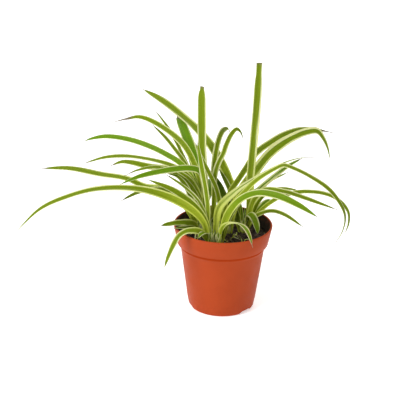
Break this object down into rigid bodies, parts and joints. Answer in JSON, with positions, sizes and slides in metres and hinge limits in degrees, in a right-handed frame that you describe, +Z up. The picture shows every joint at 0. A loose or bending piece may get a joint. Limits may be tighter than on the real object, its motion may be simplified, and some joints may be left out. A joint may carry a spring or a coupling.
{
  "type": "potted spider plant",
  "caption": "Spider plant with arching strap-shaped green leaves edged in cream, growing in a small round terracotta-coloured plastic nursery pot with a deep rim band.",
  "frame": {"origin": "centre of the pot's flat base, on the surface that the pot stands on", "axes": "+Z up along the pot's axis; -Y is the side seen in the picture; +X is the picture's right, along the plant's widest spread"},
  "size_m": [0.3371, 0.2286, 0.2581],
  "materials": {
    "pot": "satin moulded polypropylene, terracotta colour",
    "soil": "damp peat and bark potting mix, loose and rough",
    "crown": "pale yellow-green living leaf bases, satin",
    "leaf": "living leaf, mid green centre with cream margins, satin"
  },
  "bodies": {
    "root": {"pot": "pot", "soil": "soil", "front_left_crown": "crown", "front_left_leaf_1": "leaf", "front_left_leaf_2": "leaf", "front_left_leaf_3": "leaf", "front_left_leaf_4": "leaf", "front_left_leaf_5": "leaf", "front_left_leaf_6": "leaf", "front_left_leaf_7": "leaf", "front_right_crown": "crown", "front_right_leaf_1": "leaf", "front_right_leaf_2": "leaf", "front_right_leaf_3": "leaf", "front_right_leaf_4": "leaf", "middle_crown": "crown", "middle_leaf_1": "leaf", "middle_leaf_2": "leaf", "middle_leaf_3": "leaf", "middle_leaf_4": "leaf", "back_crown": "crown", "back_leaf_1": "leaf", "back_leaf_2": "leaf", "back_leaf_3": "leaf", "back_leaf_4": "leaf", "back_leaf_5": "leaf", "back_leaf_6": "leaf", "back_leaf_7": "leaf", "back_leaf_8": "leaf", "back_leaf_9": "leaf", "back_leaf_10": "leaf", "back_leaf_11": "leaf", "back_leaf_12": "leaf", "back_leaf_13": "leaf", "left_crown": "crown", "left_leaf_1": "leaf", "left_leaf_2": "leaf", "left_leaf_3": "leaf", "left_leaf_4": "leaf", "left_leaf_5": "leaf", "right_crown": "crown", "right_leaf_1": "leaf", "right_leaf_2": "leaf", "right_leaf_3": "leaf", "right_leaf_4": "leaf", "right_leaf_5": "leaf", "right_leaf_6": "leaf", "right_leaf_7": "leaf", "right_leaf_8": "leaf", "right_leaf_9": "leaf", "right_leaf_10": "leaf", "right_leaf_11": "leaf", "right_leaf_12": "leaf", "right_leaf_13": "leaf"}
  },
  "joints": []
}
